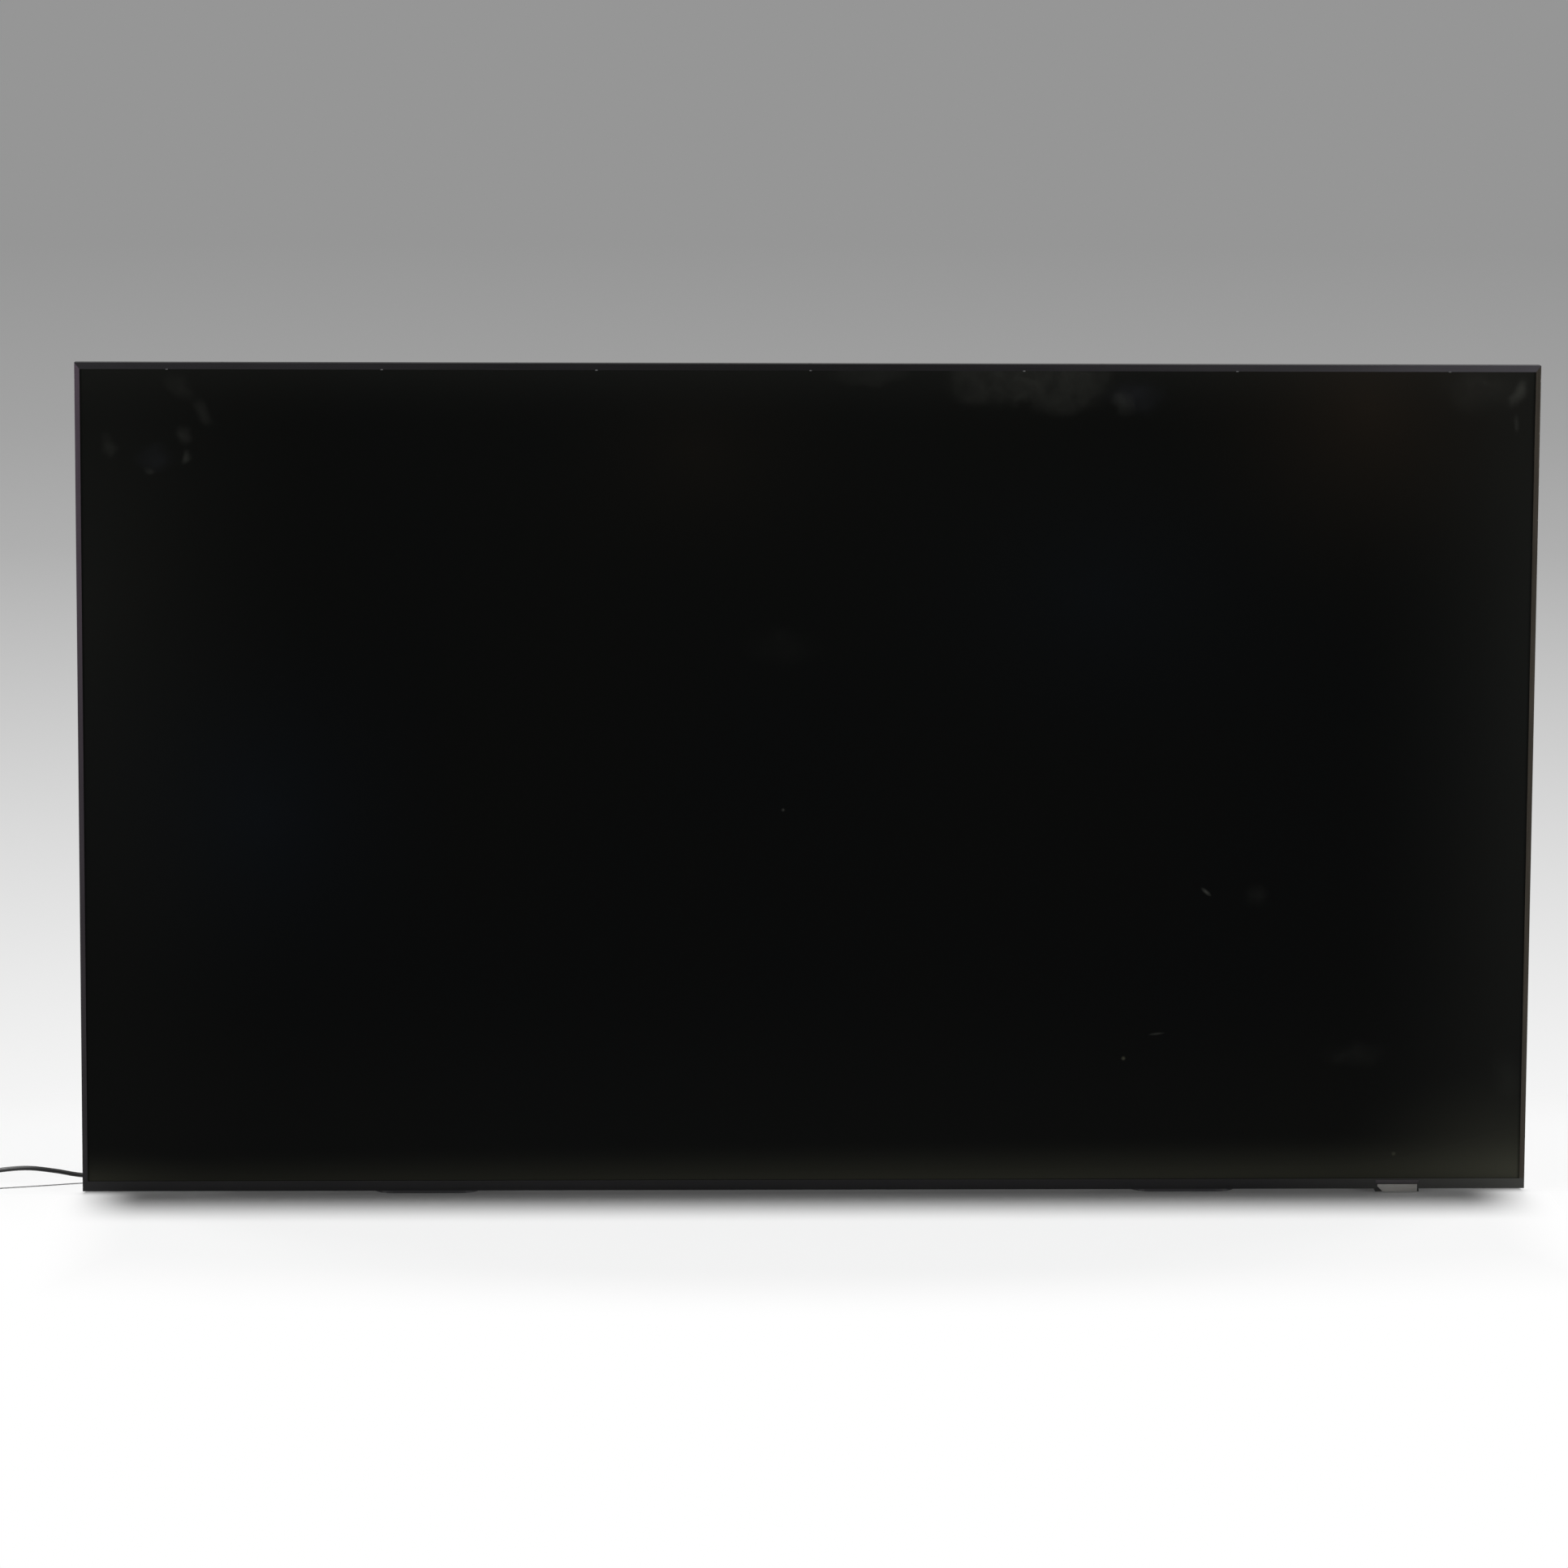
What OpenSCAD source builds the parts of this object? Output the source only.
// Flat screen television of the 65 inch class, with no stand fitted.
// It stands on the rims of its two leg sockets, with its mains lead laid along the floor behind it.
// Modules draw with y = 0 at the front face, y growing to the rear, and the floor at z = 0.
// from_front() then puts the origin under the middle of the set's depth.

/* [Set] */
// Width of the front frame
set_w = 1449; // [1340:1:1600]
// Height of the front frame
set_h = 830; // [760:1:900]
// Depth over the electronics box
set_depth = 76; // [74:1:100]
// Height of the chin above the floor
floor_gap = 4.8; // [4.6:0.1:8]

/* [Front frame] */
// Visible width of a side rail
lip_side = 5; // [4.4:0.1:8]
// Visible height of the top rail
lip_top = 6.4; // [5:0.1:9]
// Height of the chin
chin_h = 10.2; // [9.6:0.1:16]
// Depth of the rails
frame_depth = 14; // [13:0.5:18]
// Wall thickness of the rails and the chin
rail_wall = 1.5; // [1.2:0.1:2]
// Black border between the rails and the picture
border = 4.8; // [3:0.1:8]
// Shank diameter of the frame screws
frame_screw_d = 2; // [1.6:0.1:2.6]
// Frame screws along each side
side_screws = 3; // [2:1:5]
// Frame screws along the top
top_screws = 5; // [2:1:9]

/* [Panel] */
// Thickness of the front polariser
polariser_t = 0.3; // [0.2:0.05:0.6]
// Thickness of the LCD cell
cell_t = 1.2; // [1:0.1:2]
// Thickness of the foam gaskets
gasket_t = 0.5; // [0.3:0.1:1]
// Thickness of the middle frame's ledge
ledge_t = 1.8; // [1.2:0.1:3]
// Thickness of one optical film
film_t = 0.3; // [0.2:0.05:0.5]
// Thickness of the diffuser plate
plate_t = 2; // [1.2:0.1:3]
// Columns of panel tapes on each source board
tapes_per_board = 6; // [3:1:8]

/* [Backlight] */
// Depth of the light box behind the diffuser plate
tray_depth = 12.6; // [10:0.1:20]
// Sheet thickness of the steel tray
tray_t = 0.8; // [0.6:0.1:1.2]
// Rows of LED strips
led_rows = 6; // [3:1:8]
// Lenses on each strip
led_columns = 10; // [6:1:14]
// Diameter of a lens
lens_d = 15; // [10:0.5:20]
// Height of a lens
lens_h = 4; // [3:0.1:6]
// Thickness of the reflector sheet
reflector_t = 0.4; // [0.3:0.05:0.8]
// Thickness of a strip's board
strip_t = 1; // [0.8:0.1:1.6]

/* [Rear cover] */
// Wall thickness of the rear cover
cover_wall = 2.5; // [2:0.1:3.5]
// Space between the tray and the cover
cover_gap = 2.7; // [2:0.1:5]
// Width of the electronics box at its rear face
box_w = 1150; // [1060:2:1180]
// Height of the rear face's top edge above the floor
box_top = 540; // [520:1:600]
// Run of the box's sloped sides
side_slope = 62; // [40:1:70]
// Rise of the box's sloped top
top_slope = 60; // [40:1:90]
// Width of a vent slot
slot_w = 3; // [2:0.5:4]
// Spacing of the vent slots
slot_pitch = 8; // [6:0.5:12]
// Shank diameter of the cover screws
cover_screw_d = 3.4; // [3:0.1:4]

/* [Wall mount] */
// Width of the bolt pattern
vesa_w = 400; // [300:100:400]
// Height of the bolt pattern
vesa_h = 300; // [200:100:300]
// Height of the pattern's centre above the floor
vesa_z = 350; // [330:1:370]
// Diameter of the mounting bolts
vesa_bolt_d = 8; // [6:2:8]

/* [Leg sockets] */
// Distance between the two leg sockets
leg_spacing = 762; // [740:1:780]
// Width of a socket's rim
rim_w = 106; // [96:1:112]
// Width of the slot for a leg's tongue
tongue_w = 70; // [50:1:76]
// Thickness of the slot for a leg's tongue
tongue_t = 20; // [14:0.5:24]
// Depth of a leg socket above the cover's floor
socket_depth = 80; // [50:1:90]
// Wall thickness of a leg socket
socket_wall = 3; // [2:0.1:4]

/* [Jack bay] */
// Distance of the jack panel from the set's middle
bay_x = 484; // [470:1:500]
// Lower edge of the bay
bay_bottom = 170; // [160:1:190]
// Height of the bay
bay_h = 230; // [222:1:250]

/* [Boards] */
// Thickness of a circuit board
board_t = 1.6; // [1:0.1:2]
// Height of the board standoffs
standoff_h = 6; // [5:0.1:8]
// Width of the main board
main_w = 240; // [200:1:244]
// Height of the main board
main_h = 214; // [208:1:220]
// Width of the power board
power_w = 290; // [270:1:300]
// Height of the power board
power_h = 210; // [200:1:230]

/* [Mains inlet] */
// Distance of the inlet from the set's middle
inlet_x = 330; // [318:1:331]
// Height of the inlet's face above the floor
inlet_z = 230; // [225:1:235]

/* [Sensor pod] */
// Distance of the pod from the set's middle
pod_x = 596; // [580:1:606]
// Width of the silver tab
badge_w = 40; // [34:1:46]
// How far the tab covers the chin
badge_up = 4.4; // [3:0.1:5]
// How far the tab and the pod hang below the chin
badge_drop = 3.5; // [3:0.1:3.8]
// Travel of the power button
button_travel = 0.5; // [0.3:0.05:0.6]

/* [Speakers] */
// Distance of a speaker from the set's middle
speaker_x = 497; // [492:1:502]
// Radius of a driver's frame
driver_r = 20; // [18:0.5:21]
// Travel of a cone each way
cone_travel = 1; // [0.5:0.1:1.2]

/* [Power cord] */
// Width of the flat twin cord
cord_w = 5.6; // [5:0.1:6.4]
// Thickness of the flat twin cord
cord_t = 3.4; // [2.8:0.1:3.6]

/* [Hidden] */
$fn = 48;

// Clearances: of pieces that slide in, of the joint round the rear cover, of a screw in its thread,
// of a piece dropped into its seat, and how far a cut runs past the face that it opens
fit = 0.2;
reveal = 0.6;
thread = 0.04;
seat = 0.1;
past = 1;

// The set's outline
half_w = set_w / 2;
z_low = floor_gap;
z_high = floor_gap + set_h;

// Layers from the front to the rear
lip_t = rail_wall;
y_polariser = lip_t + gasket_t;
y_cell = y_polariser + polariser_t;
y_cell_back = y_cell + cell_t;
y_ledge = y_cell_back + gasket_t;
y_films = y_ledge + ledge_t;
y_plate = y_films + 2 * film_t;
y_flange = y_plate + plate_t;
y_floor = y_flange + tray_depth;
y_back = y_floor + tray_t;
edge_depth = y_back + cover_gap + cover_wall;
y_board = y_back + standoff_h;
y_parts = y_board + board_t;

// The picture's window in the black border
window_x = half_w - lip_side - border;
window_low = z_low + chin_h + border;
window_high = z_high - lip_top - border;

// The panel's edge under the rails, and the space that the source boards take inside the chin
rib_h = 1;
chin_ribs = 4;
chin_rib_w = 8;
source_t = 1;
tape_t = 0.2;
tape_gap = 0.5;
panel_edge = 3;
cell_low = z_low + chin_h - panel_edge;
frame_low = z_low + rail_wall + rib_h + source_t + tape_t + tape_gap;
frame_wall = 2;
frame_edge = rail_wall + fit;
sheet_play = 0.8;
sheet_edge = frame_edge + frame_wall + sheet_play;
sheet_low = frame_low + frame_wall + sheet_play;
source_play = 0.5;
source_front = y_ledge + source_play;
source_rear = frame_depth - source_play;
tape_w = 34;
source_w = 530;
source_inner = 30;

// The rear cover's lower edge, and the run and rise of its sloped foot
cover_low = z_low + reveal;
cover_floor = cover_low + cover_wall;
foot_run = 12;
foot_rise = 16;

// Outer radii of the rear cover: the box's edges, its root on the slim part, the rim and the foot
cover_box_r = 16;
cover_root_r = 20;
cover_edge_r = 7;
cover_foot_r = 10;

// Leg sockets
leg_x = leg_spacing / 2;
rim_front = frame_depth + fit;
rim_depth = 48;
rim_r = 20;
rim_toe = 4;
leg_y = rim_front + rim_depth / 2;

// The jack bay and the main board beside it
bay_top = bay_bottom + bay_h;
panel_flange = 0.5;
main_x = -bay_x + cover_wall + panel_flange;
main_z = bay_bottom + (bay_h - main_h) / 2;
jack_lip = 0.8;
hdmi_z = [for (k = [0:2]) bay_bottom + 34 + 28 * k];
usb_z = [for (k = [0:1]) bay_bottom + 116 + 22 * k];
lan_z = bay_bottom + 168;
antenna_z = bay_bottom + 198;

// The power board beside the right mount rail, and the timing board
power_gap = 28;
power_z = 150;
timing_w = 180;
timing_h = 70;
timing_z = 60;
source_link_x = 55;
wifi_x = -30;
wifi_z = 430;
wifi_w = 60;

// The inlet's pocket in the rear cover
pocket_w = 64;
pocket_y = 46;
pocket_low = 104;
pocket_ramp = 34;
inlet_y = (pocket_y + set_depth) / 2;
inlet_w = 22;
inlet_d = 16;
inlet_h = 24;
inlet_flange = 3;
nose_h = 11;
pin_pitch = 8.6;

// The wall mount rails: the web reaches rail_out past the bolts, and the flange lies on the inner side
rail_w = 50;
rail_flange = 10;
rail_t = 1.5;
rail_out = 10;
rail_d = 22;
web_y = y_back + rail_d;
boss_d = 18;
boss_floor = 4;
rail_low = vesa_z - vesa_h / 2 - 30;
rail_high = vesa_z + vesa_h / 2 + 40;
power_x = vesa_w / 2 + rail_out + power_gap;

// Tall parts of the power board, which stand between the inlet's pocket and the board's far edge
pocket_side = inlet_x + pocket_w / 2 + cover_wall;
sink_t = 3;
sink_foot = 12;
sink_h = 90;
sink_out = 30;
sink_x = [pocket_side + 1.5, power_x + power_w - 20];
tall_from = sink_x[0] + sink_foot + 2;
tall_to = sink_x[1] - 4;
transformer_w = (tall_to - tall_from) / 2 - 22;
transformer_h = 44;
transformer_out = 26;
capacitor_d = 25;
capacitor_out = 34;

// Screw heads and wells
screw_inset = 18;
screw_low = 26;
cover_head_d = 7;
cover_head_h = 1.1;
well_d = 8.4;
well_h = 1.2;
cover_boss_d = 8;
board_screw_d = 2.8;

// Vents: in the box's sloped top, low in its rear face, and under the speakers
top_vent_in = 90;
top_vent_out = 85;
low_vent = 220;
low_vent_h = 26;
low_vent_z = [52, 86];
speaker_vent = 45;
speaker_slot = 14;

// Speakers
speaker_w = 134;
speaker_h = 100;
speaker_wall = 2;
driver_play = 0.4;
speaker_y = y_back + speaker_wall + driver_play + driver_r;
speaker_rear = speaker_y + driver_r + driver_play + speaker_wall;
// Height of the cover's inner face over its sloped foot, where a speaker's rear edge comes down
foot_z = cover_low + (speaker_rear - set_depth + foot_run) * foot_rise / foot_run
    + cover_wall * norm([foot_run, foot_rise]) / foot_run;
speaker_z = max(cover_floor + 2, foot_z + 1);
cone_r = driver_r - 4.4;

// The sensor pod under the chin
pod_margin = 2;
pod_w = badge_w + 2 * pod_margin;
badge_cut = 5.6;
pod_z = z_low - badge_drop;
pod_wall = 1;
button_w = 12;
button_d = 7;
button_y = 9;
button_out = 0.4;
button_play = 0.3;
button_r = 2;
button_flange = 0.8;
switch_h = 1.5;
sensor_t = 1;
sensor_foot = 4;
sensor_z = frame_low - sensor_t - 0.3;
sensor_plug_y = frame_depth + 3;
lead_d = 1.4;
window_w = badge_w + 4;

function unit(v) = v / norm(v);
function left_of(v) = [-v.y, v.x] / norm(v);

// An outline with corner i rounded to radius r[i]
function fillet(p, r, n = 5) = [
    for (i = [0:len(p) - 1])
        each corner_arc(p[(i + len(p) - 1) % len(p)], p[i], p[(i + 1) % len(p)], r[i], n)
];
function corner_arc(a, p, b, r, n) = r <= 0 ? [p] :
    let (u = unit(a - p), v = unit(b - p), half = acos(u * v) / 2,
         c = p + unit(u + v) * r / sin(half),
         s = p + u * r / tan(half) - c, e = p + v * r / tan(half) - c, turn = 180 - 2 * half)
    [for (k = [0:n]) c + (sin((1 - k / n) * turn) * s + sin(k / n * turn) * e) / sin(turn)];

// An anticlockwise outline moved inwards by d
function inset(p, d) = [
    for (i = [0:len(p) - 1])
        let (n1 = left_of(p[i] - p[(i + len(p) - 1) % len(p)]), n2 = left_of(p[(i + 1) % len(p)] - p[i]))
        p[i] + (n1 + n2) * d / (1 + n1 * n2)
];

function rect(w, h) = [[-w / 2, -h / 2], [w / 2, -h / 2], [w / 2, h / 2], [-w / 2, h / 2]];

// n places spread evenly between a and b, with half a step at each end
function spread(a, b, n) = [for (k = [0:n - 1]) a + (b - a) * (k + 0.5) / n];

module from_front() { translate([0, -set_depth / 2, 0]) children(); }
module block(a, b) { translate(a) cube(b - a); }
module rounded(w, h, r) { polygon(fillet(rect(w, h), [r, r, r, r])); }
module y_rod(d, y0, y1) { translate([0, y0, 0]) rotate([-90, 0, 0]) cylinder(d = d, h = y1 - y0); }
module along_x(length) { rotate([90, 0, 90]) linear_extrude(length, center = true) children(); }
module along_y(y0, y1) { translate([0, y1, 0]) rotate([90, 0, 0]) linear_extrude(y1 - y0) children(); }
module both_sides() { children(); mirror([1, 0, 0]) children(); }

// A flat ring in the plane of the screen, between two rectangles given as [half width, low, high]
module ring(outer, inner, y0, y1) {
    difference() {
        block([-outer[0], y0, outer[1]], [outer[0], y1, outer[2]]);
        block([-inner[0], y0 - past, inner[1]], [inner[0], y1 + past, inner[2]]);
    }
}

// A closed tube through rings of n points each
module ring_tube(rings) {
    n = len(rings[0]);
    last = len(rings) - 1;
    polyhedron(
        [for (ring = rings) each ring],
        concat(
            [[for (k = [0:n - 1]) k]],
            [for (i = [0:last - 1]) for (k = [0:n - 1])
                let (a = i * n + k, b = i * n + (k + 1) % n) each [[a, a + n, b + n], [a, b + n, b]]],
            [[for (k = [n - 1:-1:0]) last * n + k]]));
}

// A round wire along straight runs, mitred where it turns
function wire_way(p, i) = unit(p[i + 1] - p[i]);
function mitre(p, i) = i == len(p) - 1 ? wire_way(p, i - 1) : wire_way(p, i - 1) + wire_way(p, i);
function wire_rings(p, i, ring) = i == len(p) ? [] : concat([ring], i == len(p) - 1 ? [] :
    let (way = wire_way(p, i), plane = mitre(p, i + 1))
    wire_rings(p, i + 1, [for (q = ring) q + way * ((p[i + 1] - q) * plane) / (way * plane)]));

module wire(p, d) {
    way = wire_way(p, 0);
    side = unit(cross(way, abs(way.x) < 0.9 ? [1, 0, 0] : [0, 1, 0]));
    ring_tube(wire_rings(p, 0, [for (k = [0:7])
        p[0] + (side * cos(45 * k) + cross(way, side) * sin(45 * k)) * d / 2]));
}

// Front frame

function side_screw_z() = spread(z_low + chin_h, z_high, side_screws);
function top_screw_x() = spread(-half_w, half_w, top_screws);
frame_screw_y = (y_films + frame_depth) / 2;
frame_head_d = frame_screw_d + 2.4;

module side_screw_rods(d, x0, x1) {
    for (z = side_screw_z()) translate([0, frame_screw_y, z]) {
        both_sides() translate([x0, 0, 0]) rotate([0, 90, 0]) cylinder(d = d, h = x1 - x0);
    }
}

module top_screw_rods(d, z0, z1) {
    for (x = top_screw_x()) translate([x, frame_screw_y, z0]) cylinder(d = d, h = z1 - z0);
}

module top_rail() color("#2b2b2e") difference() {
    union() {
        along_y(0, lip_t) polygon([
            [-half_w, z_high], [-half_w + lip_side, z_high - lip_top],
            [half_w - lip_side, z_high - lip_top], [half_w, z_high]]);
        along_y(lip_t, frame_depth) polygon([
            [-half_w, z_high], [-half_w + rail_wall, z_high - rail_wall],
            [half_w - rail_wall, z_high - rail_wall], [half_w, z_high]]);
    }
    top_screw_rods(frame_head_d, z_high - rail_wall - 1, z_high + 1);
}

module side_rail() color("#2b2b2e") {
    low = z_low + chin_h;
    difference() {
        union() {
            along_y(0, lip_t) polygon([
                [half_w, low], [half_w, z_high],
                [half_w - lip_side, z_high - lip_top], [half_w - lip_side, low]]);
            along_y(lip_t, frame_depth) polygon([
                [half_w, low], [half_w, z_high],
                [half_w - rail_wall, z_high - rail_wall], [half_w - rail_wall, low]]);
        }
        side_screw_rods(frame_head_d, half_w - rail_wall - 1, half_w + 1);
    }
}

module right_rail() { side_rail(); }
module left_rail() { mirror([1, 0, 0]) side_rail(); }

module bottom_chin() color("#26262a") {
    difference() {
        block([-half_w, 0, z_low], [half_w, frame_depth, z_low + chin_h]);
        block([-half_w + rail_wall, rail_wall, z_low + rail_wall],
              [half_w - rail_wall, frame_depth + 1, z_low + chin_h + 1]);
        translate([pod_x, 0, 0]) {
            along_y(-1, rail_wall + 1) polygon(badge_outline(fit / 2));
            block([-window_w / 2, -1, window_z()[0]], [window_w / 2, rail_wall + 1, window_z()[1]]);
            translate([0, button_y, 0])
                block([-button_w / 2, -button_d / 2, z_low - past],
                      [button_w / 2, button_d / 2, z_low + rail_wall + past]);
        }
    }
    for (x = spread(source_inner, source_inner + source_w, chin_ribs)) both_sides()
        block([x - chin_rib_w / 2, source_front, z_low + rail_wall],
              [x + chin_rib_w / 2, source_rear, z_low + rail_wall + rib_h]);
}

module frame_screws() color("#17171a") {
    side_screw_rods(frame_head_d - fit, half_w - rail_wall, half_w - 0.1);
    side_screw_rods(frame_screw_d, half_w - rail_wall - frame_wall, half_w - rail_wall);
    top_screw_rods(frame_head_d - fit, z_high - rail_wall, z_high - 0.1);
    top_screw_rods(frame_screw_d, z_high - rail_wall - frame_wall, z_high - rail_wall);
}

// Panel and backlight

function panel_box(edge) = [half_w - edge, cell_low + edge - panel_edge, z_high - edge];

module sheet(edge, low, y0, t) { block([-half_w + edge, y0, low], [half_w - edge, y0 + t, z_high - edge]); }

module front_polariser() color("#050506") sheet(panel_edge + 0.3, cell_low + 0.3, y_polariser, polariser_t);
module lcd_cell() color("#0b0b0d") sheet(panel_edge, cell_low, y_cell, cell_t);

module panel_gaskets() color("#101010") {
    front = panel_box(panel_edge + 0.4);
    ring([front[0], cell_low + 0.4, front[2]],
         [half_w - lip_side + fit, z_low + chin_h - fit, z_high - lip_top + fit], lip_t, y_polariser);
    ring([front[0], cell_low + 2.8, front[2]],
         [window_x + 1, window_low - 1, window_high + 1], y_cell_back, y_ledge);
}

module middle_frame() color("#1a1a1a") difference() {
    union() {
        ring([half_w - frame_edge, frame_low, z_high - frame_edge],
             [window_x, window_low, window_high], y_ledge, y_films);
        ring([half_w - frame_edge, frame_low, z_high - frame_edge],
             [half_w - frame_edge - frame_wall, frame_low + frame_wall, z_high - frame_edge - frame_wall],
             y_films, frame_depth);
    }
    side_screw_rods(frame_screw_d + thread, half_w - frame_edge - frame_wall - 1, half_w);
    top_screw_rods(frame_screw_d + thread, z_high - frame_edge - frame_wall - 1, z_high);
}

module prism_film() color("#d8dadc") sheet(sheet_edge, sheet_low, y_films, film_t);
module diffuser_film() color("#e6e6e4") sheet(sheet_edge, sheet_low, y_films + film_t, film_t);
module diffuser_plate() color("#f2f2ef") sheet(sheet_edge, sheet_low, y_plate, plate_t);

tray_inset = lip_side + border - 0.5;
tray_x = half_w - tray_inset;
tray_low = window_low - 0.5;
tray_high = window_high + 0.5;

module led_places() {
    for (z = spread(tray_low, tray_high, led_rows)) for (x = spread(-tray_x, tray_x, led_columns))
        translate([x, 0, z]) children();
}

y_strip = y_floor - strip_t;

module reflector_sheet() color("#fafafa") difference() {
    block([-tray_x + tray_t + fit, y_strip - reflector_t, tray_low + tray_t + fit],
          [tray_x - tray_t - fit, y_strip, tray_high - tray_t - fit]);
    led_places() y_rod(lens_d + 1, y_strip - reflector_t - 1, y_strip + 1);
}

module led_strips() color("#e9ece6") {
    for (z = spread(tray_low, tray_high, led_rows))
        block([-tray_x + 40, y_strip, z - 8], [tray_x - 40, y_floor, z + 8]);
}

module led_lenses() color("#dfe6ea") led_places() translate([0, y_strip, 0]) rotate([90, 0, 0])
    rotate_extrude() polygon([[0, 0], [lens_d / 2, 0], [lens_d / 2, lens_h * 0.4],
                              [lens_d * 0.4, lens_h * 0.85], [lens_d * 0.15, lens_h], [0, lens_h * 0.9]]);

module back_tray() color("#9a9d9f") difference() {
    union() {
        block([-tray_x, y_flange, tray_low], [tray_x, y_back, tray_high]);
        block([-half_w + sheet_edge, y_flange, sheet_low],
              [half_w - sheet_edge, y_flange + tray_t, z_high - sheet_edge]);
    }
    block([-tray_x + tray_t, y_flange - past, tray_low + tray_t],
          [tray_x - tray_t, y_floor, tray_high - tray_t]);
}

// The bars that join the cell's lower edge to its source boards, kept clear of the sensor pod
function tape_x() = spread(source_inner, source_inner + source_w, tapes_per_board);

module panel_tapes() color("#8a5a22") for (x = tape_x()) both_sides() {
    z0 = frame_low - tape_gap - tape_t;
    block([x - tape_w / 2, y_cell_back, z0], [x + tape_w / 2, y_cell_back + tape_t, cell_low + 2.5]);
    block([x - tape_w / 2, y_cell_back, z0], [x + tape_w / 2, source_front + 4, z0 + tape_t]);
}

source_z = z_low + rail_wall + rib_h;

module source_boards() color("#1d4d33") both_sides()
    block([source_inner, source_front, source_z],
          [source_inner + source_w, source_rear, source_z + source_t]);

ribbon_t = 0.3;
ribbon_w = 40;

module ribbon_cables() color("#d9d6cc") for (side = [-1, 1]) translate([side * source_link_x, 0, 0]) {
    y1 = y_back + 0.5;
    z1 = source_z + source_t;
    step_z = timing_z - 4;
    half = ribbon_w / 2;
    block([-half, source_rear - 3, z1], [half, y1 + ribbon_t, z1 + ribbon_t]);
    block([-half, y1, z1], [half, y1 + ribbon_t, step_z]);
    block([-half, y1, step_z - ribbon_t], [half, y_parts + ribbon_t, step_z]);
    block([-half, y_parts, step_z - ribbon_t], [half, y_parts + ribbon_t, timing_z + 8]);
}

// Boards and what stands on them

function corners_of(x, z, w, h, edge) =
    [for (i = [0, 1]) for (k = [0, 1]) [x + edge + i * (w - 2 * edge), z + edge + k * (h - 2 * edge)]];

board_fixings = concat(
    corners_of(main_x, main_z, main_w, main_h, 8),
    corners_of(power_x, power_z, power_w, power_h, 8),
    corners_of(-timing_w / 2, timing_z, timing_w, timing_h, 6),
    [[wifi_x + wifi_w / 2, wifi_z + 5]]);

module at_fixings() { for (p = board_fixings) translate([p[0], 0, p[1]]) children(); }

module circuit_board(x, z, w, h) difference() {
    block([x, y_board, z], [x + w, y_parts, z + h]);
    at_fixings() y_rod(board_screw_d + 0.6, y_board - 1, y_parts + 1);
}

module board_standoffs() color("#b9a15a") at_fixings() difference() {
    y_rod(7, y_back, y_board);
    y_rod(board_screw_d + thread, y_back - 1, y_board + 1);
}

module board_screws() color("#8d8f92") at_fixings() {
    y_rod(board_screw_d, y_back + 0.5, y_parts);
    y_rod(6, y_parts, y_parts + 2);
}

module timing_board() color("#17472c") {
    circuit_board(-timing_w / 2, timing_z, timing_w, timing_h);
    block([-14, y_parts, timing_z + 28], [14, y_parts + 1.4, timing_z + 56]);
}

module main_board() color("#174a2e") {
    circuit_board(main_x, main_z, main_w, main_h);
    for (k = [0:3]) translate([main_x + 150, y_parts, main_z + 24 + 22 * k]) cube([12, 1.2, 16]);
}

heatsink_x = main_x + 70;
heatsink_z = main_z + 110;

module main_heatsink() color("#a8abad") translate([heatsink_x, y_parts, heatsink_z]) {
    cube([60, 4, 60]);
    for (k = [0:7]) translate([1 + 8 * k, 4, 0]) cube([2, 14, 60]);
}

module shield_can() color("#b5b8ba") difference() {
    block([main_x + 170, y_parts, main_z + 120], [main_x + 220, y_parts + 8, main_z + 180]);
    block([main_x + 170.6, y_parts - 1, main_z + 120.6], [main_x + 219.4, y_parts + 7.4, main_z + 179.4]);
}

module wifi_board() color("#14542f") {
    circuit_board(wifi_x, wifi_z, wifi_w, 26);
    block([wifi_x + 6, y_parts, wifi_z + 12], [wifi_x + 30, y_parts + 2, wifi_z + 24]);
}

module power_board() color("#a67c3f") {
    circuit_board(power_x, power_z, power_w, power_h);
    block([inlet_x - 12, y_parts, power_z + 130], [inlet_x + 12, y_parts + 9, power_z + 144]);
}

module power_transformers() color("#c9a227") for (x = spread(tall_from, tall_to, 2))
    translate([x, y_parts, power_z + 60]) {
        half = transformer_w / 2;
        block([-half, 0, 0], [half, transformer_out, transformer_h]);
        block([-half - 4, 0, 6], [half + 4, 5, transformer_h - 6]);
    }

module power_capacitors() color("#24282e") for (x = spread(tall_from, tall_to, 3))
    translate([x, 0, power_z + 150]) y_rod(capacitor_d, y_parts, y_parts + capacitor_out);

module power_heatsinks() color("#9fa2a4") for (x = sink_x) translate([x, y_parts, power_z + 30]) {
    cube([sink_t, sink_out, sink_h]);
    cube([sink_foot, 2, 20]);
}

// Jacks, which stand on the main board's rear face and look out to the left

module jack(z, w, h, deep) {
    translate([-bay_x, y_parts, z]) {
        difference() {
            block([-jack_lip, 0, -w / 2], [deep, h, w / 2]);
            children();
        }
    }
}

module hdmi_sockets() color("#c9cbcc") for (z = hdmi_z) {
    jack(z, 15.2, 6.2, 12) block([-jack_lip - 1, 0.8, -7], [10, 5.4, 7]);
    translate([-bay_x, y_parts, z]) block([2, 2.4, -5.8], [10.5, 3.4, 5.8]);
}

module usb_sockets() color("#c4c6c8") for (z = usb_z) {
    jack(z, 14.6, 7.2, 14) block([-jack_lip - 1, 0.7, -6.6], [12, 6.5, 6.6]);
    translate([-bay_x, y_parts, z]) block([1.5, 3.8, -5.7], [12.5, 5.8, 5.7]);
}

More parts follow.
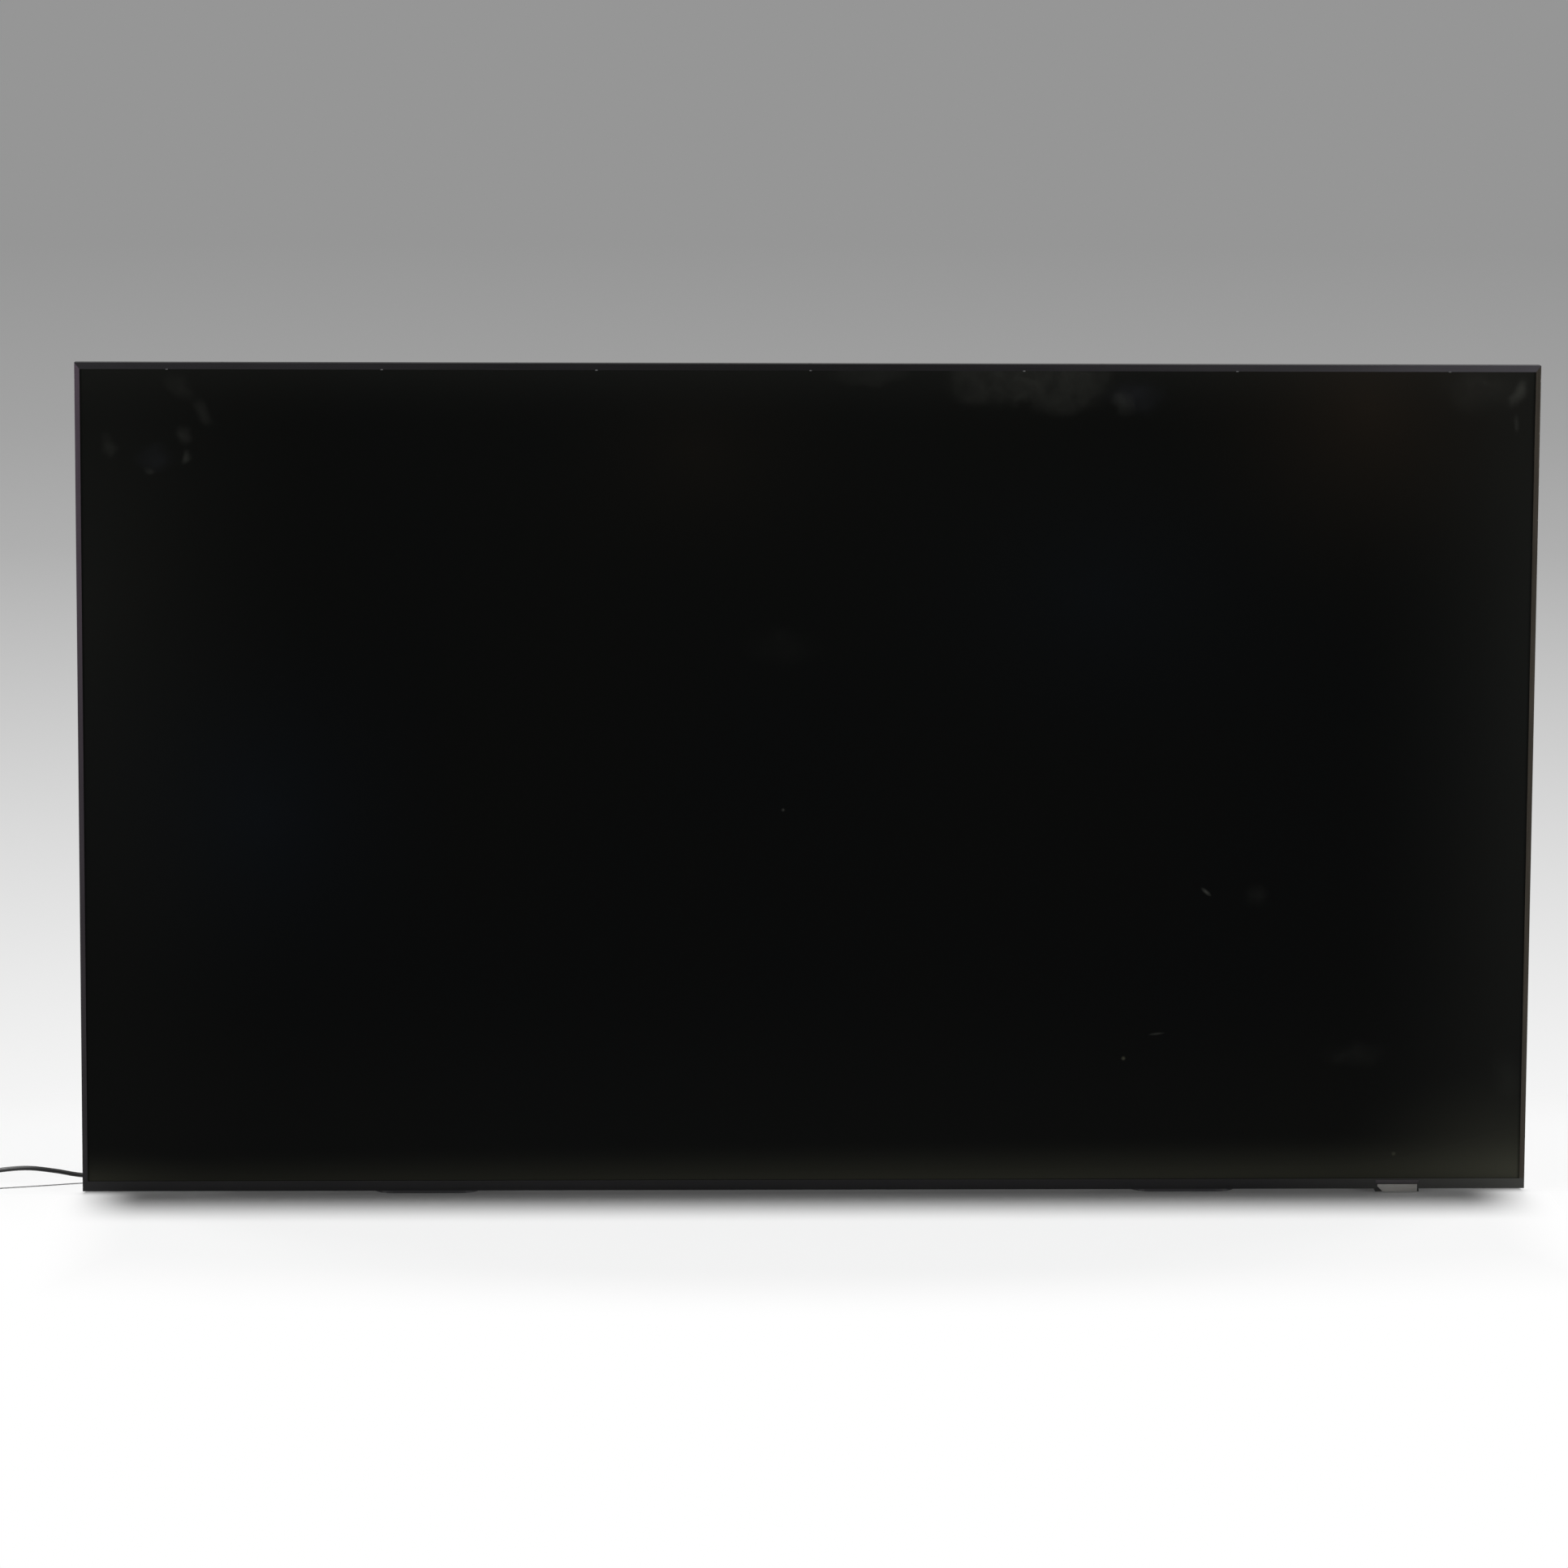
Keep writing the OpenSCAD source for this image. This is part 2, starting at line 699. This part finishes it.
module lan_socket() color("#bfc1c3") jack(lan_z, 16.4, 13.6, 20) {
    block([-jack_lip - 1, 2.2, -5.9], [15, 10.2, 5.9]);
    block([-jack_lip - 1, 10.1, -3.2], [11, 12.4, 3.2]);
}

module antenna_socket() color("#cfd0d0") translate([-bay_x, y_parts, antenna_z]) {
    block([4, 0, -8], [18, 14, 8]);
    translate([-9, 7, 0]) rotate([0, 90, 0]) cylinder(d = 9.4, h = 14);
}

panel_window = [[y_parts - fit, bay_bottom + 14], [y_parts + 20, bay_top - 14]];

module jack_panel() color("#202124") difference() {
    union() {
        block([-bay_x, y_parts + seat, panel_window[0][1] + seat],
              [-bay_x + cover_wall, panel_window[1][0] - seat, panel_window[1][1] - seat]);
        block([-bay_x + cover_wall, y_parts + seat, panel_window[0][1] - 3],
              [-bay_x + cover_wall + 1.2, panel_window[1][0] + 3, panel_window[1][1] + 3]);
    }
    for (z = hdmi_z) jack_hole(z, 15.2, 6.2);
    for (z = usb_z) jack_hole(z, 14.6, 7.2);
    jack_hole(lan_z, 16.4, 13.6);
    translate([-bay_x - 1, y_parts + 7, antenna_z]) rotate([0, 90, 0]) cylinder(d = 9.8, h = 5);
    block([-bay_x + cover_wall + fit, y_parts - 1, antenna_z - 8 - fit],
          [-bay_x + cover_wall + 2, y_parts + 14 + fit, antenna_z + 8 + fit]);
}

module jack_hole(z, w, h) {
    block([-bay_x - past, y_parts - past, z - w / 2 - fit],
          [-bay_x + cover_wall + 2 * past, y_parts + h + fit, z + w / 2 + fit]);
}

// Mains inlet, with the connector's nose pushed up into it

module inlet_socket_outline(grow) {
    polygon(fillet(rect(14 + 2 * grow, 8 + 2 * grow), [3, 3, 3, 3]));
}

module ac_inlet() color("#1b1b1d") translate([inlet_x, inlet_y, inlet_z]) {
    difference() {
        union() {
            block([-inlet_w / 2, -inlet_d / 2, 0], [inlet_w / 2, inlet_d / 2, inlet_h]);
            block([-inlet_w / 2 - inlet_flange, -inlet_d / 2 - inlet_flange, cover_wall],
                  [inlet_w / 2 + inlet_flange, inlet_d / 2 + inlet_flange, cover_wall + 2]);
        }
        translate([0, 0, -1]) linear_extrude(nose_h + 2) inlet_socket_outline(fit);
    }
    for (side = [-1, 1]) translate([side * pin_pitch / 2, 0, 2]) cylinder(d = 2.4, h = nose_h);
}

module inlet_leads() color("#5b3a22") for (side = [-1, 1])
    wire([[inlet_x + side * 5, inlet_y, inlet_z + inlet_h],
          [inlet_x + side * 5, inlet_y, inlet_z + inlet_h + 14],
          [inlet_x + side * 5, y_parts + 16, power_z + 137],
          [inlet_x + side * 5, y_parts + 9, power_z + 137]], 3);

// Leads of the two speakers and the sensor board, laid on the tray below the mount rails
function lead_start(x) = let (y = y_board + board_t / 2) [[x, y, main_z - fit], [x, y, main_z - fit - 4]];
module wire_harness() color("#3b3b3f") {
    y = y_back + fit + lead_d / 2;
    low = cover_floor + fit + lead_d / 2;
    run = min(main_z - 14, rail_low - 10, power_z - 4);
    left = lead_start(main_x + 90);
    right = lead_start(main_x + 120);
    sensor = lead_start(main_x + 150);
    wire(concat(left, [[main_x + 90, y, run + 6], [-speaker_x, y, run - 4],
                       [-speaker_x, y, speaker_z + speaker_h]]), lead_d);
    wire(concat(right, [[main_x + 120, y, run - 6], [speaker_x, y, run - 20],
                        [speaker_x, y, speaker_z + speaker_h]]), lead_d);
    wire(concat(sensor, [[main_x + 150, y, run], [pod_x, y, run - 8],
                         [pod_x, y, low], [pod_x, sensor_plug_y, low]]), lead_d);
}

// Steelwork behind the tray

module mount_rails() color("#8f9294") both_sides()
    translate([vesa_w / 2 + rail_out - rail_w, 0, rail_low]) linear_extrude(rail_high - rail_low) {
        translate([0, y_back]) square([rail_t, rail_d]);
        translate([rail_w - rail_t, y_back]) square([rail_t, rail_d]);
        translate([0, web_y - rail_t]) square([rail_w, rail_t]);
        translate([-rail_flange, y_back]) square([rail_flange + rail_t, rail_t]);
    }

module at_vesa() {
    for (x = [-1, 1]) for (z = [-1, 1]) translate([x * vesa_w / 2, 0, vesa_z + z * vesa_h / 2]) children();
}

module vesa_bosses() color("#a3a6a8") at_vesa() difference() {
    y_rod(boss_d, web_y, set_depth);
    y_rod(vesa_bolt_d, web_y + boss_floor, set_depth + past);
}

module leg_sockets() color("#7f8284") for (side = [-1, 1]) translate([side * leg_x, leg_y, 0]) {
    w = tongue_w / 2 + fit + socket_wall;
    d = tongue_t / 2 + fit + socket_wall;
    difference() {
        block([-w, -d, cover_floor], [w, d, cover_floor + socket_depth + socket_wall]);
        block([-w + socket_wall, -d + socket_wall, cover_floor - 1],
              [w - socket_wall, d - socket_wall, cover_floor + socket_depth]);
    }
    block([-w + 8, y_back - leg_y, cover_floor + 14], [w - 8, -d, cover_floor + socket_depth - 6]);
}

// Speakers: a closed box, a driver that looks down, and its cone

module speaker_box() color("#18181a") translate([speaker_x, speaker_y, speaker_z]) difference() {
    block([-speaker_w / 2, y_back - speaker_y, 0], [speaker_w / 2, speaker_rear - speaker_y, speaker_h]);
    block([-speaker_w / 2 + speaker_wall, y_back - speaker_y + speaker_wall, speaker_wall],
          [speaker_w / 2 - speaker_wall, speaker_rear - speaker_y - speaker_wall, speaker_h - speaker_wall]);
    translate([0, 0, -1]) cylinder(r = cone_r + 0.4, h = speaker_wall + 2);
}

module speaker_driver() color("#4a4c4f") translate([speaker_x, speaker_y, speaker_z + speaker_wall])
    rotate_extrude() polygon([
        [0, 14], [6, 14], [6, 22], [7.8, 22], [7.8, 14], [driver_r - 1.5, 14], [driver_r - 1.5, 1.5],
        [cone_r + 0.4, 1.5], [cone_r + 0.4, 0], [driver_r, 0], [driver_r, 16], [14, 16], [14, 24], [0, 24]]);

module speaker_cone() color("#26262a") translate([speaker_x, speaker_y, speaker_z + speaker_wall])
    rotate_extrude() polygon([
        [0, 8.2], [6.8, 8.2], [cone_r, 0.6], [cone_r, 1.4],
        [7.2, 9.2], [7.2, 17], [6.6, 17], [6.6, 9], [0, 9]]);

module left_speaker_box() { mirror([1, 0, 0]) speaker_box(); }
module right_speaker_box() { speaker_box(); }
module left_speaker_driver() { mirror([1, 0, 0]) speaker_driver(); }
module right_speaker_driver() { speaker_driver(); }
module left_speaker_cone() { mirror([1, 0, 0]) speaker_cone(); }
module right_speaker_cone() { speaker_cone(); }

// Sensor pod with its bare silver tab, dark window and power button

function badge_outline(grow) = [
    [-badge_w / 2 - grow, z_low + badge_up + grow], [-badge_w / 2 - grow, pod_z + badge_cut],
    [-badge_w / 2 + badge_cut, pod_z - grow], [badge_w / 2 + grow, pod_z - grow],
    [badge_w / 2 + grow, z_low + badge_up + grow]];
function window_z() = [z_low + badge_up + 0.4, z_low + chin_h - 1.2];

module badge_plate() color("#a6a5a3") translate([pod_x, 0, 0])
    along_y(0, rail_wall) polygon(badge_outline(0));

module ir_window() color("#1c1018") translate([pod_x, 0, 0])
    block([-window_w / 2 + seat, seat, window_z()[0] + seat],
          [window_w / 2 - seat, rail_wall, window_z()[1] - seat]);

module sensor_pod() color("#232327") translate([pod_x, rail_wall, 0]) difference() {
    block([-pod_w / 2, 0, pod_z], [pod_w / 2, frame_depth - rail_wall, z_low]);
    block([-pod_w / 2 + pod_wall, pod_wall, pod_z + pod_wall],
          [pod_w / 2 - pod_wall, frame_depth - rail_wall - pod_wall, z_low + past]);
    translate([0, button_y - rail_wall, pod_z - past])
        linear_extrude(pod_wall + 2 * past) rounded(button_w, button_d, button_r);
}

module power_button() color("#303035") translate([pod_x, button_y, 0]) {
    w = button_w - 2 * button_play;
    d = button_d - 2 * button_play;
    r = button_r - button_play;
    top = pod_z + pod_wall + seat;
    stem = top + button_flange / 2;
    translate([0, 0, pod_z - button_out]) linear_extrude(button_out + pod_wall + 2 * seat) rounded(w, d, r);
    translate([0, 0, top]) linear_extrude(button_flange) rounded(button_w + 2, d, r);
    translate([0, 0, stem]) cylinder(d = 4, h = sensor_z - switch_h - button_travel - seat - stem);
}

module sensor_board() color("#17472c") translate([pod_x, 0, 0]) {
    half = pod_w / 2;
    block([-half, source_front, sensor_z], [half, source_rear, sensor_z + sensor_t]);
    block([-5, source_rear, cover_floor + fit], [5, sensor_plug_y, sensor_z + sensor_t]);
    for (x = [-half, half - sensor_foot])
        block([x, source_front, z_low + rail_wall], [x + sensor_foot, source_rear, sensor_z]);
    block([-3, rail_wall + seat, sensor_z], [3, source_front, sensor_z + sensor_t]);
    block([-3, rail_wall + seat, sensor_z], [3, y_ledge - 0.3, cell_low - 0.3]);
}

module push_switch() color("#8d8f92") translate([pod_x, button_y, sensor_z - switch_h]) {
    translate([-3, -3, switch_h / 3]) cube([6, 6, switch_h * 2 / 3]);
    cylinder(d = 3, h = switch_h / 3 + seat);
}

// Rear cover

cover_side_points = [
    [0, cover_low], [set_depth - foot_run, cover_low], [set_depth, cover_low + foot_rise],
    [set_depth, box_top], [edge_depth, box_top + top_slope],
    [edge_depth, z_high - reveal], [0, z_high - reveal]];
cover_plan_points = [
    [-half_w + reveal, 0], [half_w - reveal, 0], [half_w - reveal, edge_depth],
    [box_w / 2 + side_slope, edge_depth], [box_w / 2, set_depth], [-box_w / 2, set_depth],
    [-box_w / 2 - side_slope, edge_depth], [-half_w + reveal, edge_depth]];

module cover_solid(d) intersection() {
    box_r = cover_box_r - d;
    edge_r = cover_edge_r - d;
    root_r = cover_root_r + d;
    foot_r = cover_foot_r - d;
    along_x(set_w + 2 * past)
        polygon(fillet(inset(cover_side_points, d), [0, foot_r, foot_r, box_r, root_r, edge_r, 0]));
    linear_extrude(z_high + past)
        polygon(fillet(inset(cover_plan_points, d), [0, 0, edge_r, root_r, box_r, box_r, root_r, edge_r]));
}

module bay_space(d) {
    block([-half_w, edge_depth - d, bay_bottom - d], [-bay_x + d, set_depth + 10 * past, bay_top + d]);
}

module pocket_space(d) {
    slope = pocket_ramp / (set_depth - pocket_y);
    mouth = set_depth + 10 * past;
    outline = [[pocket_y, pocket_low + pocket_ramp], [mouth, pocket_low - (mouth - set_depth) * slope],
               [mouth, inlet_z], [pocket_y, inlet_z]];
    translate([inlet_x, 0, 0]) along_x(pocket_w + 2 * d) polygon(inset(outline, -d));
}

function cover_screw_places() = concat(
    [for (x = spread(-half_w, half_w, 6)) [x, z_high - screw_inset]],
    [for (side = [-1, 1]) for (z = spread(bay_top, z_high, 2)) [side * (half_w - screw_inset), z]],
    [for (side = [-1, 1]) for (z = [z_low + screw_low, bay_bottom]) [side * (half_w - screw_inset), z]]);

module at_cover_screws() { for (p = cover_screw_places()) translate([p[0], 0, p[1]]) children(); }

module slot_row(x0, x1, y0, y1, z0, z1) {
    count = floor((x1 - x0) / slot_pitch);
    for (k = [0:count]) {
        x = (x0 + x1) / 2 + (k - count / 2) * slot_pitch;
        block([x - slot_w / 2, y0, z0], [x + slot_w / 2, y1, z1]);
    }
}

module vents() {
    for (side = [-1, 1]) {
        middle = side * (top_vent_in + box_w / 2 - top_vent_out) / 2;
        half = (box_w / 2 - top_vent_out - top_vent_in) / 2;
        slot_row(middle - half, middle + half, edge_depth + 12, set_depth - 13,
                 box_top - 20, box_top + top_slope + 20);
        slot_row(side * speaker_x - speaker_vent, side * speaker_x + speaker_vent,
                 speaker_y - speaker_slot, speaker_y + speaker_slot,
                 cover_low - past, cover_floor + past / 2);
    }
    for (z = low_vent_z)
        slot_row(-low_vent, low_vent, set_depth - cover_wall - past, set_depth + past, z, z + low_vent_h);
}

// Each rim has a toe that reaches forward under the chin
module leg_rims() for (side = [-1, 1]) translate([side * leg_x, leg_y, 0]) {
    linear_extrude(cover_floor - cover_wall / 2) rounded(rim_w, rim_depth, rim_r);
    translate([0, -rim_toe / 2, 0]) linear_extrude(z_low - fit) rounded(rim_w, rim_depth + rim_toe, rim_r);
}

module rear_cover() color("#1f2023") difference() {
    union() {
        intersection() {
            difference() {
                difference() { cover_solid(0); bay_space(0); pocket_space(0); }
                difference() { cover_solid(cover_wall); bay_space(cover_wall); pocket_space(cover_wall); }
            }
            block([-set_w, frame_depth, 0], [set_w, set_depth + past, z_high + past]);
        }
        leg_rims();
    }
    for (side = [-1, 1]) translate([side * leg_x, leg_y, 0])
        block([-tongue_w / 2 - fit, -tongue_t / 2 - fit, -past],
              [tongue_w / 2 + fit, tongue_t / 2 + fit, cover_floor + past]);
    at_vesa() y_rod(boss_d + 2 * fit, set_depth - cover_wall - past, set_depth + past);
    at_cover_screws() {
        y_rod(well_d, edge_depth - well_h, edge_depth + past);
        y_rod(cover_screw_d + 4 * fit, edge_depth - cover_wall - past, edge_depth);
    }
    block([-bay_x - past, panel_window[0][0], panel_window[0][1]],
          [-bay_x + cover_wall + past, panel_window[1][0], panel_window[1][1]]);
    translate([inlet_x, inlet_y, inlet_z])
        block([-inlet_w / 2 - seat, -inlet_d / 2 - seat, -past],
              [inlet_w / 2 + seat, inlet_d / 2 + seat, cover_wall + past]);
    vents();
}

module cover_bosses() color("#96999b") at_cover_screws() difference() {
    y_rod(cover_boss_d, y_back, edge_depth - cover_wall);
    y_rod(cover_screw_d + thread, y_back - 1, edge_depth);
}

module cover_screws() color("#1a1a1c") at_cover_screws() {
    y_rod(cover_screw_d, y_back + 0.3, edge_depth - well_h);
    y_rod(cover_head_d, edge_depth - well_h, edge_depth - well_h + cover_head_h);
}

// Mains lead: a flat twin cord from the connector under the inlet, down and along the floor to its plug

connector_h = 22;
relief_h = 24;
relief_ribs = 6;
connector_z = inlet_z - connector_h - relief_h;
plug_len = 25;
plug_w = 24;
plug_h = 13;
plug_relief = 20;
blade_len = 16;
blade_t = 1.5;
blade_pitch = 12.7;
plug_y = 31;
plug_x = -872;

// Route of the cord's middle, from the connector to the plug
route = [
    [330, 61, 184], [330, 61, 170], [330, 64, 152], [330, 70, 134], [330, 78, 116], [330, 87, 95],
    [329, 98, 71], [326, 112, 45], [318, 127, 21], [303, 139, 6.5], [278, 147, 2.4], [240, 150, 2],
    [185, 148, 2], [120, 142, 2], [40, 132, 2], [-50, 121, 2], [-150, 112, 2], [-260, 106, 2],
    [-370, 102, 2], [-480, 98, 2], [-580, 92, 2], [-650, 83, 2.6], [-700, 73, 5], [-731, 65, 8.4],
    [-757, 57, 14.4], [-783, 49, 18.8], [-810, 41, 18.4], [-833, 36, 14.4], [-854, 32, 8.8], [-872, 31, 6.5]];
// The point from which the cord's wide side stays level
level_from = 3;
cord_rings = 78;
cord_sides = 10;

// A smooth curve through the route, by cubic pieces that match each point's neighbours
function route_at(i) = route[max(0, min(len(route) - 1, i))];
function along_route(t) =
    let (i = min(floor(t), len(route) - 2), u = t - i,
         a = route_at(i - 1), b = route_at(i), c = route_at(i + 1), d = route_at(i + 2))
    b + (c - a) * u / 2 + (2 * a - 5 * b + 4 * c - d) * u * u / 2 + (3 * b - a - 3 * c + d) * u * u * u / 2;
function route_way(t) = let (e = 0.01)
    unit(along_route(min(t + e, len(route) - 1)) - along_route(max(t - e, 0)));
function cord_ring(t) =
    let (way = t == 0 ? [0, 0, -1] : t == len(route) - 1 ? [-1, 0, 0] : route_way(t),
         hint = t < level_from ? [1, 0, 0] : cross(way, [0, 0, 1]),
         wide = unit(hint - (hint * way) * way), thin = cross(way, wide))
    [for (k = [0:cord_sides - 1]) let (a = 360 * (k + 0.5) / cord_sides)
        along_route(t) + wide * (cord_w / 2 * cos(a)) + thin * (cord_t / 2 * sin(a))];

module power_cord() color("#161616")
    ring_tube([for (i = [0:cord_rings]) cord_ring(i * (len(route) - 1) / cord_rings)]);

// A tapered sleeve around the cord, ribbed for bending
module strain_relief(length, w0, t0, ribs) {
    w1 = cord_w + 1.6;
    t1 = cord_t + 1.6;
    linear_extrude(length) rounded(w1, t1, (cord_t + 1) / 2);
    for (k = [0:ribs - 1]) {
        share = 1 - k / ribs;
        translate([0, 0, k * length / ribs]) linear_extrude(length / ribs * 0.7)
            rounded(w1 + (w0 - w1) * share, t1 + (t0 - t1) * share, (cord_t + 1) / 2);
    }
}

module cord_connector() color("#141414") translate([inlet_x, inlet_y, inlet_z]) difference() {
    union() {
        translate([0, 0, -fit]) linear_extrude(nose_h + fit) inlet_socket_outline(0);
        translate([0, 0, -connector_h]) linear_extrude(connector_h - fit) rounded(17, 11, 4);
        translate([0, 0, -connector_h]) mirror([0, 0, 1]) strain_relief(relief_h, 12, 8, relief_ribs);
    }
    for (side = [-1, 1]) translate([side * pin_pitch / 2, 0, 1]) cylinder(d = 2.8, h = nose_h);
}

module mains_plug() color("#141414") translate([plug_x, plug_y, plug_h / 2]) rotate([0, -90, 0])
    rotate([0, 0, 90]) translate([0, 0, plug_relief]) {
        linear_extrude(plug_len) rounded(plug_w, plug_h, 4);
        mirror([0, 0, 1]) strain_relief(plug_relief, 14, 9, relief_ribs);
    }

module plug_blades() color("#c8b46a") for (side = [-1, 1]) {
    blade_w = side > 0 ? 7.9 : 6.3;
    translate([plug_x - plug_relief - plug_len, plug_y + side * blade_pitch / 2, plug_h / 2])
        block([-blade_len, -blade_t / 2, -blade_w / 2], [0, blade_t / 2, blade_w / 2]);
}

from_front() top_rail();
from_front() left_rail();
from_front() right_rail();
from_front() bottom_chin();
from_front() frame_screws();
from_front() front_polariser();
from_front() lcd_cell();
from_front() panel_gaskets();
from_front() middle_frame();
from_front() prism_film();
from_front() diffuser_film();
from_front() diffuser_plate();
from_front() reflector_sheet();
from_front() led_strips();
from_front() led_lenses();
from_front() back_tray();
from_front() panel_tapes();
from_front() source_boards();
from_front() ribbon_cables();
from_front() timing_board();
from_front() mount_rails();
from_front() vesa_bosses();
from_front() leg_sockets();
from_front() cover_bosses();
from_front() board_standoffs();
from_front() board_screws();
from_front() main_board();
from_front() main_heatsink();
from_front() shield_can();
from_front() wifi_board();
from_front() hdmi_sockets();
from_front() usb_sockets();
from_front() lan_socket();
from_front() antenna_socket();
from_front() jack_panel();
from_front() power_board();
from_front() power_transformers();
from_front() power_capacitors();
from_front() power_heatsinks();
from_front() ac_inlet();
from_front() inlet_leads();
from_front() wire_harness();
from_front() left_speaker_box();
from_front() right_speaker_box();
from_front() left_speaker_driver();
from_front() right_speaker_driver();
from_front() left_speaker_cone();
from_front() right_speaker_cone();
from_front() sensor_pod();
from_front() ir_window();
from_front() sensor_board();
from_front() push_switch();
from_front() power_button();
from_front() badge_plate();
from_front() rear_cover();
from_front() cover_screws();
from_front() cord_connector();
from_front() power_cord();
from_front() mains_plug();
from_front() plug_blades();
